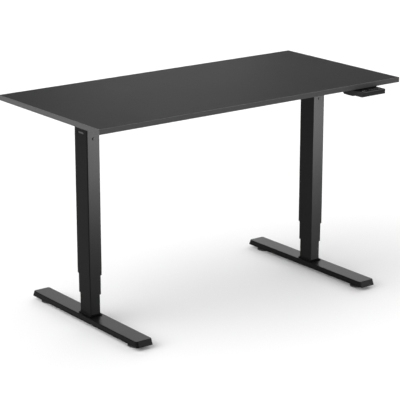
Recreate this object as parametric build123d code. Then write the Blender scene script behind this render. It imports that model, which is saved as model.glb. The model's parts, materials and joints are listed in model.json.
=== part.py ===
from build123d import *
import math
import os

# Height adjustable standing desk on two motorised three-stage columns.
# Millimetres, +Z up, +X to the user's right, +Y away from the user.
# The origin is on the floor, at the middle of the desk's length and depth.
# Sizes below are measured from the plane of the columns' axes, a little behind it.
# Left-hand pieces are modelled; right-hand pieces are their mirror images.

# ---- desktop -------------------------------------------------------------
TOP_WIDTH = 1400.0
TOP_DEPTH = 670.0
TOP_THICKNESS = 19.0
SURFACE_HEIGHT = 831.0
TOP_SET_BACK = 9.0  # the desktop's centre stands this far behind the columns
BAND_THICKNESS = 2.0
BAND_CORNER_RADIUS = 3.0
BAND_EDGE_RADIUS = 1.0

# ---- columns -------------------------------------------------------------
COLUMN_X = 538.0
COLUMN_SET_BACK = 8.0  # the columns' axes stand this far behind the origin
TUBE_WALL = 2.0
STAGE_GAP = 1.0  # space between one tube and the next, filled by the guides
RUNNING_FIT = 0.06
OUTER_SIZE = (55.0, 83.0)
OUTER_RADIUS = 3.5
OUTER_BOTTOM = 193.0
OUTER_TOP = 765.0
MIDDLE_BOTTOM = 117.0
MIDDLE_TOP = 632.0
MIDDLE_RADIUS = 3.0
INNER_TOP = 512.0
INNER_RADIUS = 3.0
GUIDE_LENGTH = 50.0
SLOT_LENGTH = 38.0
SLOT_HEIGHT = 7.0
SLOT_Z = 735.0
COLUMN_SCREW_Z = 716.0

# ---- feet ----------------------------------------------------------------
FOOT_WIDTH = 71.6
FOOT_LENGTH = 712.0
FOOT_TOP = 36.0
FOOT_DEPTH = 21.5
FOOT_END_SLOPE = 9.5  # how much shorter the top is at each end
FOOT_WALL = 2.5
FOOT_CORNER_RADIUS = 9.0
FOOT_EDGE_RADIUS = 2.5
GLIDE_Y = 292.0
GLIDE_RADIUS = 29.0
STUD_RADIUS = 4.0
STUD_CLEARANCE = 0.05
GLIDE_NUT_BOTTOM = 18.5
BASE_PLATE_SIZE = (54.0, 82.0)
BASE_PLATE_THICKNESS = 4.0
FOOT_BOLT_PLACES = (14.0, 26.0)

# ---- lifting screws ------------------------------------------------------
SPINDLE_RADIUS = 7.0
SPINDLE_BOTTOM = 362.0
JOURNAL_RADIUS = 6.0
JOURNAL_BOTTOM = 757.0
SPINDLE_TOP = 795.0
HOLLOW_SCREW_RADIUS = 11.0
HOLLOW_SCREW_BORE = 7.5
HOLLOW_SCREW_BOTTOM = 244.0
HOLLOW_SCREW_HEAD_RADIUS = 15.0
HOLLOW_SCREW_HEAD = (593.0, 600.0)
NUT_FIT = 0.05
CAP_THICKNESS = 3.0
BLOCK_FIT = 0.3  # clearance of a moulded or cast block inside its tube

# ---- drive ---------------------------------------------------------------
WHEEL_TEETH = 30
WHEEL_RADIUS = 18.0
WHEEL_ROOT_RADIUS = 16.2
WHEEL_THICKNESS = 14.0
WORM_RADIUS = 5.0
MESH_GAP = 0.3
WORM_Z = 786.0
WORM_Y = WHEEL_RADIUS + WORM_RADIUS + MESH_GAP
MOTOR_RADIUS = 17.0
MOTOR_START = 33.0  # inboard of the column's centre line
MOTOR_LENGTH = 80.0
MOTOR_SHAFT_RADIUS = 2.5
BEARING_RADIUS = 14.0
BEARING_BOTTOM = 762.0
BEARING_TOP = 774.0

# ---- under-frame ---------------------------------------------------------
HEAD_PLATE = 2.5
HEAD_TOP = 807.0
HEAD_OUTBOARD = -32.0
HEAD_INBOARD = 135.0
HEAD_HALF_DEPTH = 45.0
HEAD_FLANGE = 12.0
BRACKET_THICKNESS = 3.0
BRACKET_HALF_WIDTH = 32.0
BRACKET_HALF_LENGTH = 234.0
BRACKET_WEB_START = 78.0
BRACKET_WEB_DEPTH = 36.0
BRACKET_TIP_DEPTH = 12.0
BRACKET_BOLT_PLACES = (22.0, 36.5)
RAIL_HALF_LENGTH = 560.0
RAIL_DEPTH = 30.0
RAIL_HEIGHT = 36.0
RAIL_WALL = 1.5
RAIL_BOLT_OFFSETS = (-10.0, 125.0)
DESKTOP_SCREW_Y = (110.0, 214.0)
PAD_SIZE = (40.0, 16.0)
WOOD_SCREW_RADIUS = 2.25
WOOD_SCREW_LENGTH = 17.0
M6_RADIUS = 3.0
M8_RADIUS = 4.0
BOLT_CLEARANCE = 0.3

# ---- control box ---------------------------------------------------------
BOX_SIZE = (220.0, 80.0, 30.0)
BOX_WALL = 2.2
LID_SIZE = (256.0, 84.0, 1.2)
BOX_SCREW_PLACES = (119.0, 30.0)
SOCKET_DEPTH = 14.0
POCKET_DEPTH = 11.0
SOCKETS = ((-22.0, 20.0), (-1.0, 12.0), (14.0, 12.0), (29.0, 12.0))  # y centre, width
SOCKET_HEIGHT = 11.0

# ---- handset -------------------------------------------------------------
HANDSET_X = 527.0
HANDSET_WIDTH = 120.0
HANDSET_BACK = -254.0
HANDSET_FRONT = -372.0
HANDSET_TOP = 807.5  # the control face, in front of the desktop
HANDSET_BOTTOM = 785.5
TONGUE_BOTTOM = 789.5
TONGUE_STEP = (-330.0, -314.0)  # the underside rises between these two depths
MOUNT_FRONT = -318.0  # behind this the handset reaches up to the desktop
NOSE_RADIUS = 6.0
HANDSET_CORNER_RADIUS = 9.0
HANDSET_WALL = 2.4
FACE_Y = -347.5
FACE_PLATE = (106.0, 31.0, 1.2)
FACE_FIT = 0.15
DISPLAY_SIZE = (32.0, 16.0)
DISPLAY_U = -31.0
PRESET_SIZE = (9.0, 13.0)
PRESET_U = (-4.0, 8.0, 20.0)
ARROW_SIZE = (15.0, 10.0)
ARROW_U = 39.0
ARROW_V = 7.0
KEY_HEIGHT = 1.5
KEY_STEM = 6.0
KEY_FIT = 0.35
BOARD_DEPTH = 7.0
HANDSET_POST_X = 44.0
HANDSET_POST_Y = -291.0

# ---- worked out ----------------------------------------------------------
UNDERSIDE = SURFACE_HEIGHT - TOP_THICKNESS
STAGE_STEP = 2 * (TUBE_WALL + STAGE_GAP)
MIDDLE_SIZE = (OUTER_SIZE[0] - STAGE_STEP, OUTER_SIZE[1] - STAGE_STEP)
INNER_SIZE = (MIDDLE_SIZE[0] - STAGE_STEP, MIDDLE_SIZE[1] - STAGE_STEP)
BASE_PLATE_TOP = FOOT_TOP + BASE_PLATE_THICKNESS
FOOT_BOTTOM = FOOT_TOP - FOOT_DEPTH
BRACKET_TOP = HEAD_TOP + BRACKET_THICKNESS
LEFT_X = -COLUMN_X


def save(shape, node):
    """Write one node, a solid or a list of separate solids, in the part's own frame."""
    solids = shape if isinstance(shape, list) else [shape]
    moved = [Pos(0, COLUMN_SET_BACK, 0) * solid for solid in solids]
    export_step(moved[0] if len(moved) == 1 else Compound(children=moved), f"parts/{node}.step")


def save_pair(shape, name):
    """Write a left-hand piece and its mirror image."""
    solids = shape if isinstance(shape, list) else [shape]
    save(shape, f"left_{name}")
    save([mirror(solid, about=Plane.YZ) for solid in solids], f"right_{name}")


def both_sides(shape):
    """A left-hand solid and its mirror image, as a list."""
    return [shape, mirror(shape, about=Plane.YZ)]


def block(x0, x1, y0, y1, z0, z1):
    """A box between two corners."""
    centre = ((x0 + x1) / 2, (y0 + y1) / 2, (z0 + z1) / 2)
    return Pos(*centre) * Box(x1 - x0, y1 - y0, z1 - z0)


def post(x, y, z0, z1, radius):
    """An upright cylinder between two heights."""
    return Pos(x, y, (z0 + z1) / 2) * Cylinder(radius, z1 - z0)


def rod_x(x0, x1, y, z, radius):
    """A cylinder along X."""
    return Pos((x0 + x1) / 2, y, z) * Rot(0, 90, 0) * Cylinder(radius, abs(x1 - x0))


def rod_y(x, y0, y1, z, radius):
    """A cylinder along Y."""
    return Pos(x, (y0 + y1) / 2, z) * Rot(90, 0, 0) * Cylinder(radius, abs(y1 - y0))


def prism(size, radius, z0, z1, x=LEFT_X, y=0.0):
    """An upright bar of rounded rectangular section."""
    section = Pos(x, y, z0) * RectangleRounded(size[0], size[1], radius)
    return extrude(section, z1 - z0)


def tube(size, radius, z0, z1):
    """A rectangular steel tube on the left-hand column's axis."""
    bore = (size[0] - 2 * TUBE_WALL, size[1] - 2 * TUBE_WALL)
    return prism(size, radius, z0, z1) - prism(bore, radius - TUBE_WALL, z0, z1)


# ---- desktop -------------------------------------------------------------
def desktop_screw_places():
    """Every wood screw: x, y and the height its head bears on, face up."""
    places = []
    for side in (-1, 1):
        for front_back in (-1, 1):
            for y in DESKTOP_SCREW_Y:
                places.append((side * COLUMN_X, front_back * y, HEAD_TOP))
            box_x, box_y = BOX_SCREW_PLACES
            places.append((side * box_x, front_back * box_y, UNDERSIDE - LID_SIZE[2]))
        handset_x = HANDSET_X + side * HANDSET_POST_X
        places.append((handset_x, HANDSET_POST_Y, UNDERSIDE - 5.0))
    return places


def desktop_panel():
    """The laminated board, with a pilot hole for each wood screw."""
    core = (TOP_WIDTH - 2 * BAND_THICKNESS, TOP_DEPTH - 2 * BAND_THICKNESS)
    radius = BAND_CORNER_RADIUS - BAND_THICKNESS
    board = prism(core, radius, UNDERSIDE, SURFACE_HEIGHT, 0, TOP_SET_BACK)
    for x, y, seat in desktop_screw_places():
        tip = seat + WOOD_SCREW_LENGTH
        board -= post(x, y, UNDERSIDE, tip + 0.5, WOOD_SCREW_RADIUS + NUT_FIT)
    return board


def edge_band():
    """The strip glued round the board's four edges."""
    outer = prism((TOP_WIDTH, TOP_DEPTH), BAND_CORNER_RADIUS, UNDERSIDE, SURFACE_HEIGHT, 0, TOP_SET_BACK)
    rims = outer.faces().sort_by(Axis.Z)
    outer = fillet(rims[0].edges() + rims[-1].edges(), BAND_EDGE_RADIUS)
    core = (TOP_WIDTH - 2 * BAND_THICKNESS, TOP_DEPTH - 2 * BAND_THICKNESS)
    radius = BAND_CORNER_RADIUS - BAND_THICKNESS
    return outer - prism(core, radius, UNDERSIDE - 1, SURFACE_HEIGHT + 1, 0, TOP_SET_BACK)


def wood_screw(x, y, seat):
    """A pan-head wood screw driven upwards, its head bearing on seat."""
    head = post(x, y, seat - 2.4, seat, 4.2)
    head = fillet(head.faces().sort_by(Axis.Z)[0].edges(), 1.4)
    shank = post(x, y, seat - 0.5, seat + WOOD_SCREW_LENGTH - 4, WOOD_SCREW_RADIUS)
    tip = Pos(x, y, seat + WOOD_SCREW_LENGTH - 2) * Cone(WOOD_SCREW_RADIUS, 0.5, 4)
    recess = post(x, y, seat - 2.5, seat - 1.2, 1.3)
    return head + shank + tip - recess


# ---- feet ----------------------------------------------------------------
def foot_solid(width, length, depth, z1, corner, edge):
    """A flat bar with sloped ends and rounded corners, its top at z1."""
    half = length / 2
    slope = FOOT_END_SLOPE * depth / FOOT_DEPTH
    side = Plane.YZ * Polygon(
        (-half, z1 - depth), (half, z1 - depth), (half - slope, z1), (-half + slope, z1), align=None
    )
    bar = Pos(LEFT_X - width / 2, 0, 0) * extrude(side, width)
    slanted = [e for e in bar.edges() if abs(e.bounding_box().size.Z - depth) < 0.1]
    bar = fillet(slanted, corner)
    return fillet(bar.faces().sort_by(Axis.Z)[-1].edges(), edge)


def foot_bolt_points():
    """Plan positions of the left-hand column's four foot bolts."""
    dx, dy = FOOT_BOLT_PLACES
    return [(LEFT_X + i * dx, j * dy) for i in (-1, 1) for j in (-1, 1)]


def foot():
    """The pressed steel foot, an inverted pan open underneath."""
    outer = foot_solid(FOOT_WIDTH, FOOT_LENGTH, FOOT_DEPTH, FOOT_TOP, FOOT_CORNER_RADIUS, FOOT_EDGE_RADIUS)
    inner = foot_solid(
        FOOT_WIDTH - 2 * FOOT_WALL,
        FOOT_LENGTH - 2.4 * FOOT_WALL,
        FOOT_DEPTH,
        FOOT_TOP - FOOT_WALL,
        FOOT_CORNER_RADIUS - FOOT_WALL,
        0.5,
    )
    pan = outer - inner
    for x, y in foot_bolt_points():
        pan -= post(x, y, FOOT_TOP - 2 * FOOT_WALL, FOOT_TOP + 1, M8_RADIUS + BOLT_CLEARANCE)
    return pan


def base_plate():
    """The plate welded to the inner tube and bolted down on the foot."""
    plate = prism(BASE_PLATE_SIZE, 4.0, FOOT_TOP, BASE_PLATE_TOP)
    for x, y in foot_bolt_points():
        plate -= post(x, y, FOOT_TOP - 1, BASE_PLATE_TOP + 1, M8_RADIUS + NUT_FIT)
    return plate


def foot_bolt(x, y):
    """A socket-head bolt, its head under the foot's top plate."""
    seat = FOOT_TOP - FOOT_WALL
    head = post(x, y, seat - 5, seat, 6.5)
    head = fillet(head.faces().sort_by(Axis.Z)[0].edges(), 1.0)
    shank = post(x, y, seat, BASE_PLATE_TOP + 4, M8_RADIUS)
    socket = Pos(x, y, seat - 6) * extrude(RegularPolygon(2.9, 6), 4)
    return head + shank - socket


def glide_nut(y):
    """The round nut welded under the foot's top plate, for a glide's stud."""
    top = FOOT_TOP - FOOT_WALL
    bore = STUD_RADIUS + STUD_CLEARANCE
    return post(LEFT_X, y, GLIDE_NUT_BOTTOM, top, 8.0) - post(LEFT_X, y, GLIDE_NUT_BOTTOM - 1, top + 1, bore)


def glide(y):
    """A round levelling glide with its threaded stud."""
    neck = 8.0
    outline = Plane.XZ * Polygon(
        (0, 0),
        (GLIDE_RADIUS - 1.5, 0),
        (GLIDE_RADIUS, 1.5),
        (GLIDE_RADIUS, 5),
        (GLIDE_RADIUS - 4, 8),
        (neck + 2, 9.5),
        (neck, 11),
        (neck, GLIDE_NUT_BOTTOM - 1.5),
        (STUD_RADIUS, GLIDE_NUT_BOTTOM - 1.5),
        (STUD_RADIUS, 32),
        (0, 32),
        align=None,
    )
    return Pos(LEFT_X, y, 0) * revolve(outline, Axis.Z)


# ---- column tubes and screws ----------------------------------------------
def outer_tube():
    """The largest tube, with a slot outboard and a screw hole front and back."""
    body = tube(OUTER_SIZE, OUTER_RADIUS, OUTER_BOTTOM, OUTER_TOP)
    slot = extrude(Plane.YZ * SlotOverall(SLOT_LENGTH, SLOT_HEIGHT), 10)
    body -= Pos(LEFT_X - OUTER_SIZE[0] / 2 - 5, 0, SLOT_Z) * slot
    half = OUTER_SIZE[1] / 2
    return body - rod_y(LEFT_X, -half - 1, half + 1, COLUMN_SCREW_Z, M6_RADIUS + NUT_FIT)


def guide(outer_size, outer_radius, z0):
    """The moulded liner inside a tube's mouth, in which the next tube runs."""
    bore = (outer_size[0] - 2 * TUBE_WALL, outer_size[1] - 2 * TUBE_WALL)
    fit = 2 * (STAGE_GAP - RUNNING_FIT)
    runner = (bore[0] - fit, bore[1] - fit)
    liner = prism(bore, outer_radius - TUBE_WALL, z0, z0 + GUIDE_LENGTH)
    return liner - prism(runner, INNER_RADIUS + RUNNING_FIT, z0, z0 + GUIDE_LENGTH)


def tube_block(size, radius, z0, z1, fit):
    """A block that fills a tube's bore, less a clearance all round."""
    inner = (size[0] - 2 * (TUBE_WALL + fit), size[1] - 2 * (TUBE_WALL + fit))
    return prism(inner, radius, z0, z1)


def tube_cap(parent_size, parent_radius, z0):
    """The cap on a tube's top end, a running fit in the next larger tube."""
    wall = TUBE_WALL + RUNNING_FIT
    size = (parent_size[0] - 2 * wall, parent_size[1] - 2 * wall)
    return prism(size, parent_radius - TUBE_WALL, z0, z0 + CAP_THICKNESS)


def middle_nut():
    """The nut and cap in the middle tube's top, which also holds the hollow screw's head."""
    bottom = MIDDLE_TOP - 42
    head_low, head_high = HOLLOW_SCREW_HEAD
    nut = tube_block(MIDDLE_SIZE, 1.0, bottom, MIDDLE_TOP, BLOCK_FIT)
    nut += tube_cap(OUTER_SIZE, OUTER_RADIUS, MIDDLE_TOP)
    nut -= post(LEFT_X, 0, head_high, MIDDLE_TOP + 5, SPINDLE_RADIUS + NUT_FIT)
    nut -= post(LEFT_X, 0, head_low - 0.4, head_high + 0.4, HOLLOW_SCREW_HEAD_RADIUS + 0.5)
    return nut - post(LEFT_X, 0, bottom - 1, head_low, HOLLOW_SCREW_RADIUS + 0.5)


def inner_nut():
    """The nut and cap in the inner tube's top, in which the hollow screw turns."""
    bottom = INNER_TOP - 28
    nut = tube_block(INNER_SIZE, 1.0, bottom, INNER_TOP, BLOCK_FIT)
    nut += tube_cap(MIDDLE_SIZE, MIDDLE_RADIUS, INNER_TOP)
    return nut - post(LEFT_X, 0, bottom - 1, INNER_TOP + 5, HOLLOW_SCREW_RADIUS + NUT_FIT)


def spindle():
    """The upper lifting screw, hung in the gear housing."""
    screw = post(LEFT_X, 0, SPINDLE_BOTTOM, JOURNAL_BOTTOM, SPINDLE_RADIUS)
    screw = chamfer(screw.faces().sort_by(Axis.Z)[0].edges(), 1.5)
    return screw + post(LEFT_X, 0, JOURNAL_BOTTOM, SPINDLE_TOP, JOURNAL_RADIUS)


def hollow_screw():
    """The lower lifting screw, which the spindle turns and slides in."""
    head_low, head_high = HOLLOW_SCREW_HEAD
    screw = post(LEFT_X, 0, HOLLOW_SCREW_BOTTOM, head_low, HOLLOW_SCREW_RADIUS)
    screw += post(LEFT_X, 0, head_low, head_high, HOLLOW_SCREW_HEAD_RADIUS)
    return screw - post(LEFT_X, 0, HOLLOW_SCREW_BOTTOM - 1, head_high + 1, HOLLOW_SCREW_BORE)


# ---- drive ---------------------------------------------------------------
def worm_wheel():
    """The toothed wheel on the spindle's journal."""
    pitch = 2 * math.pi / WHEEL_TEETH
    points = []
    for tooth in range(WHEEL_TEETH):
        for radius, share in (
            (WHEEL_ROOT_RADIUS, -0.30),
            (WHEEL_RADIUS, -0.14),
            (WHEEL_RADIUS, 0.14),
            (WHEEL_ROOT_RADIUS, 0.30),
        ):
            angle = (tooth + share) * pitch
            points.append((radius * math.cos(angle), radius * math.sin(angle)))
    low = WORM_Z - WHEEL_THICKNESS / 2
    disc = Pos(LEFT_X, 0, low) * extrude(Polygon(*points, align=None), WHEEL_THICKNESS)
    return disc - post(LEFT_X, 0, low - 1, low + WHEEL_THICKNESS + 1, JOURNAL_RADIUS + NUT_FIT)


def worm():
    """The worm and its shaft, which runs into the motor."""
    screw = rod_x(LEFT_X - 20, LEFT_X + 20, WORM_Y, WORM_Z, WORM_RADIUS)
    screw = chamfer(screw.faces().sort_by(Axis.X)[0].edges(), 1.0)
    return screw + rod_x(LEFT_X + 20, LEFT_X + MOTOR_START + 12, WORM_Y, WORM_Z, MOTOR_SHAFT_RADIUS)


def gear_housing():
    """The cast housing: a skirt inside the tube, a gear case above it, and its lid."""
    seat = OUTER_TOP + HEAD_PLATE
    lid_bottom = 796.0
    skirt = tube_block(OUTER_SIZE, 1.2, COLUMN_SCREW_Z - 8, seat, BLOCK_FIT)
    case = block(LEFT_X - 27, LEFT_X + 32.5, -24, 34, seat, lid_bottom)
    case = fillet(case.edges().filter_by(Axis.Z), 4)
    casting = skirt + case
    casting -= post(LEFT_X, 0, COLUMN_SCREW_Z - 9, seat + 20, SPINDLE_RADIUS + 1.5)
    casting -= post(LEFT_X, 0, BEARING_BOTTOM, seat + 20, BEARING_RADIUS + NUT_FIT)
    casting -= post(LEFT_X, 0, WORM_Z - WHEEL_THICKNESS / 2 - 1, lid_bottom + 1, WHEEL_RADIUS + 2)
    casting -= rod_x(LEFT_X - 22, LEFT_X + 40, WORM_Y, WORM_Z, WORM_RADIUS + 2)
    for side in (-1, 1):
        half = OUTER_SIZE[1] / 2
        casting -= rod_y(LEFT_X, side * (half - 14), side * half, COLUMN_SCREW_Z, M6_RADIUS + NUT_FIT)
    lid = block(LEFT_X - 27, LEFT_X + 32.5, -24, 34, lid_bottom, lid_bottom + 3)
    lid = fillet(lid.edges().filter_by(Axis.Z), 4)
    return [casting, lid]


def spindle_bearing():
    """The ball bearing that the spindle hangs in, as one ring."""
    ring = post(LEFT_X, 0, BEARING_BOTTOM, BEARING_TOP, BEARING_RADIUS)
    ring = chamfer(ring.edges().filter_by(GeomType.CIRCLE), 0.6)
    return ring - post(LEFT_X, 0, BEARING_BOTTOM - 1, BEARING_TOP + 1, JOURNAL_RADIUS + NUT_FIT)


def motor():
    """The drive motor: square flange, round can, end cap and cable gland."""
    start = LEFT_X + MOTOR_START
    end = start + MOTOR_LENGTH
    flange = block(start, start + 4, WORM_Y - 16, WORM_Y + 16, WORM_Z - 16, WORM_Z + 16)
    flange = fillet(flange.edges().filter_by(Axis.X), 4)
    can = rod_x(start + 3, end, WORM_Y, WORM_Z, MOTOR_RADIUS)
    can = fillet(can.faces().sort_by(Axis.X)[-1].edges(), 2)
    cap = rod_x(end - 1, end + 5, WORM_Y, WORM_Z, MOTOR_RADIUS - 4)
    gland = rod_x(end + 4, end + 8, WORM_Y, WORM_Z, 4.0)
    bore = rod_x(start - 1, start + 14, WORM_Y, WORM_Z, MOTOR_SHAFT_RADIUS + NUT_FIT)
    return flange + can + cap + gland - bore


# ---- under-frame ---------------------------------------------------------
def head_bolt_points():
    """Plan positions of the bolts that join a side bracket to its column head."""
    dx, dy = BRACKET_BOLT_PLACES
    return [(LEFT_X + i * dx, j * dy) for i in (-1, 1) for j in (-1, 1)]


def column_head():
    """The pressed steel tray welded to the outer tube's top."""
    x0, x1 = LEFT_X + HEAD_OUTBOARD, LEFT_X + HEAD_INBOARD
    half = HEAD_HALF_DEPTH
    tray = block(x0, x1, -half, half, OUTER_TOP, HEAD_TOP)
    tray = fillet(tray.edges().filter_by(Axis.Z), 3)
    tray -= block(
        x0 + HEAD_PLATE, x1 + 5, -half + HEAD_PLATE, half - HEAD_PLATE, OUTER_TOP + HEAD_PLATE, HEAD_TOP - HEAD_PLATE
    )
    lip = half - HEAD_PLATE - HEAD_FLANGE
    tray -= block(x0 + HEAD_PLATE, x1 + 5, -lip, lip, HEAD_TOP - 2 * HEAD_PLATE, HEAD_TOP + 1)
    tray -= block(LEFT_X + BRACKET_HALF_WIDTH, x1 + 5, -half - 1, half + 1, HEAD_TOP - HEAD_PLATE, HEAD_TOP + 1)
    bore = (OUTER_SIZE[0] - 2 * TUBE_WALL, OUTER_SIZE[1] - 2 * TUBE_WALL)
    tray -= prism(bore, OUTER_RADIUS - TUBE_WALL, OUTER_TOP - 1, OUTER_TOP + HEAD_PLATE + 1)
    for x, y in head_bolt_points():
        tray -= post(x, y, HEAD_TOP - 5, HEAD_TOP + 1, M6_RADIUS + NUT_FIT)
    for offset in RAIL_BOLT_OFFSETS:
        tray -= rod_y(LEFT_X + offset, -half - 1, half + 1, WORM_Z, M6_RADIUS + BOLT_CLEARANCE)
    return tray


def side_bracket():
    """The arm under the desktop's end: a plate with tapered webs each way."""
    half_width, half_length = BRACKET_HALF_WIDTH, BRACKET_HALF_LENGTH
    x0, x1 = LEFT_X - half_width, LEFT_X + half_width
    arm = block(x0, x1, -half_length, half_length, HEAD_TOP, BRACKET_TOP)
    arm = fillet(arm.edges().filter_by(Axis.Z), 6)
    web = Plane.YZ * Polygon(
        (BRACKET_WEB_START, HEAD_TOP + 1),
        (BRACKET_WEB_START, BRACKET_TOP - BRACKET_WEB_DEPTH),
        (BRACKET_WEB_START + 30, BRACKET_TOP - BRACKET_WEB_DEPTH),
        (half_length - 8, BRACKET_TOP - BRACKET_TIP_DEPTH),
        (half_length - 8, HEAD_TOP + 1),
        align=None,
    )
    for x in (x0, x1 - BRACKET_THICKNESS):
        flap = Pos(x, 0, 0) * extrude(web, BRACKET_THICKNESS)
        arm += flap + mirror(flap, about=Plane.XZ)
    for front_back in (-1, 1):
        for y in DESKTOP_SCREW_Y:
            arm -= post(LEFT_X, front_back * y, HEAD_TOP - 1, BRACKET_TOP + 1, WOOD_SCREW_RADIUS + BOLT_CLEARANCE)
    for x, y in head_bolt_points():
        arm -= post(x, y, HEAD_TOP - 1, BRACKET_TOP + 1, M6_RADIUS + BOLT_CLEARANCE)
        arm -= Pos(x, y, BRACKET_TOP - 1.4) * Cone(M6_RADIUS + BOLT_CLEARANCE, 6.2, 3.0)
    return arm


def rail(front_back):
    """A rectangular tube that joins the two column heads."""
    y0 = HEAD_HALF_DEPTH
    y1 = y0 + RAIL_DEPTH
    z0 = HEAD_TOP - RAIL_HEIGHT
    bar = block(-RAIL_HALF_LENGTH, RAIL_HALF_LENGTH, y0, y1, z0, HEAD_TOP)
    bar = fillet(bar.edges().filter_by(Axis.X), 3)
    bore = block(
        -RAIL_HALF_LENGTH - 1, RAIL_HALF_LENGTH + 1, y0 + RAIL_WALL, y1 - RAIL_WALL, z0 + RAIL_WALL, HEAD_TOP - RAIL_WALL
    )
    bar -= fillet(bore.edges().filter_by(Axis.X), 1.5)
    for side in (-1, 1):
        for offset in RAIL_BOLT_OFFSETS:
            x = side * (COLUMN_X - offset)
            bar -= rod_y(x, y0 - 1, y0 + 5, WORM_Z, M6_RADIUS + BOLT_CLEARANCE)
    return bar if front_back > 0 else mirror(bar, about=Plane.XZ)


def bracket_bolt(x, y):
    """A countersunk bolt through the side bracket into the head's flange."""
    cone = Pos(x, y, BRACKET_TOP - 1.5) * Cone(M6_RADIUS, 5.8, 2.8)
    return cone + post(x, y, BRACKET_TOP - 10, BRACKET_TOP - 2.5, M6_RADIUS)


def rail_bolt(offset, front_back):
    """A button-head bolt from inside the column head into a rail."""
    inner = HEAD_HALF_DEPTH - HEAD_PLATE
    head = rod_y(LEFT_X + offset, front_back * (inner - 3), front_back * inner, WORM_Z, 5.2)
    shank = rod_y(LEFT_X + offset, front_back * inner, front_back * (inner + 12), WORM_Z, M6_RADIUS)
    return head + shank


def column_screw(front_back):
    """A button-head screw that holds the gear housing in the outer tube."""
    face = OUTER_SIZE[1] / 2
    head = rod_y(LEFT_X, front_back * face, front_back * (face + 2.6), COLUMN_SCREW_Z, 5.2)
    rim = head.faces().sort_by(Axis.Y)[-1 if front_back > 0 else 0].edges()
    head = fillet(rim, 1.6)
    shank = rod_y(LEFT_X, front_back * (face - 12), front_back * (face + 0.5), COLUMN_SCREW_Z, M6_RADIUS)
    socket = rod_y(LEFT_X, front_back * (face + 0.9), front_back * (face + 3), COLUMN_SCREW_Z, 1.9)
    return head + shank - socket


def frame_bolts():
    """All the machine screws of the under-frame and the columns."""
    left = [bracket_bolt(x, y) for x, y in head_bolt_points()]
    for front_back in (-1, 1):
        left += [rail_bolt(offset, front_back) for offset in RAIL_BOLT_OFFSETS]
        left.append(column_screw(front_back))
    return [solid for bolt in left for solid in both_sides(bolt)]


def bracket_pads():
    """The rubber pads between the side brackets and the desktop."""
    pads = []
    for front_back in (-1, 1):
        for y in DESKTOP_SCREW_Y:
            pad = prism(PAD_SIZE, 3.0, BRACKET_TOP, UNDERSIDE, LEFT_X, front_back * y)
            pad -= post(LEFT_X, front_back * y, BRACKET_TOP - 1, UNDERSIDE + 1, WOOD_SCREW_RADIUS + BOLT_CLEARANCE)
            pads += both_sides(pad)
    return pads


# ---- control box ---------------------------------------------------------
def control_box_lid():
    """The steel plate that closes the control box and screws to the desktop."""
    lid = prism(LID_SIZE[:2], 6.0, UNDERSIDE - LID_SIZE[2], UNDERSIDE, 0, 0)
    box_x, box_y = BOX_SCREW_PLACES
    for x in (-box_x, box_x):
        for y in (-box_y, box_y):
            lid -= post(x, y, UNDERSIDE - 3, UNDERSIDE + 1, WOOD_SCREW_RADIUS + BOLT_CLEARANCE)
    return lid


def control_box_shell():
    """The moulded tub of the control box, open at its socket end."""
    length, depth, height = BOX_SIZE
    top = UNDERSIDE - LID_SIZE[2]
    tub = prism((length, depth), 4.0, top - height, top, 0, 0)
    tub = fillet(tub.faces().sort_by(Axis.Z)[0].edges(), 3.0)
    half = depth / 2 - BOX_WALL
    return tub - block(-length, length / 2 - BOX_WALL, -half, half, top - height + BOX_WALL, top + 1)


def socket_panel():
    """The moulded block of sockets in the control box's left end."""
    length, depth, height = BOX_SIZE
    top = UNDERSIDE - LID_SIZE[2]
    half = depth / 2 - BOX_WALL
    low = top - height + BOX_WALL
    face = -length / 2
    panel = block(face, face + SOCKET_DEPTH, -half, half, low, top)
    middle = (low + top) / 2
    for y, width in SOCKETS:
        panel -= block(
            face - 1,
            face + POCKET_DEPTH,
            y - width / 2,
            y + width / 2,
            middle - SOCKET_HEIGHT / 2,
            middle + SOCKET_HEIGHT / 2,
        )
    return panel


def control_board():
    """The power supply and control board, with its tallest parts."""
    length, depth, height = BOX_SIZE
    low = UNDERSIDE - LID_SIZE[2] - height + BOX_WALL + 4
    start = -length / 2 + SOCKET_DEPTH + 1
    board = block(start, length / 2 - BOX_WALL - 2, -depth / 2 + 5, depth / 2 - 5, low, low + 1.6)
    transformer = block(20, 58, -22, 12, low + 1.6, low + 20)
    heat_sink = block(66, 100, 16, 30, low + 1.6, low + 18)
    capacitors = [post(x, -24, low + 1.6, low + 18, 6.5) for x in (-70, -52, -34)]
    relays = [block(x, x + 18, 14, 30, low + 1.6, low + 14) for x in (-70, -46, -22)]
    for piece in [transformer, heat_sink] + capacitors + relays:
        board += piece
    return board


# ---- handset -------------------------------------------------------------
# u runs to the right, v away from the user and w up out of the control face
FACE = Plane(origin=(HANDSET_X, FACE_Y, HANDSET_TOP))

KEYS = {
    "up_button": (ARROW_U, ARROW_V, ARROW_SIZE),
    "down_button": (ARROW_U, -ARROW_V, ARROW_SIZE),
    "preset_one_button": (PRESET_U[0], 0.0, PRESET_SIZE),
    "preset_two_button": (PRESET_U[1], 0.0, PRESET_SIZE),
    "preset_three_button": (PRESET_U[2], 0.0, PRESET_SIZE),
}


def face_block(u, v, size, w0, w1, radius=0.0):
    """A bar that stands square to the control face, between two depths."""
    outline = RectangleRounded(size[0], size[1], radius) if radius else Rectangle(size[0], size[1])
    return FACE * Pos(u, v, w0) * extrude(outline, w1 - w0)


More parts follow.
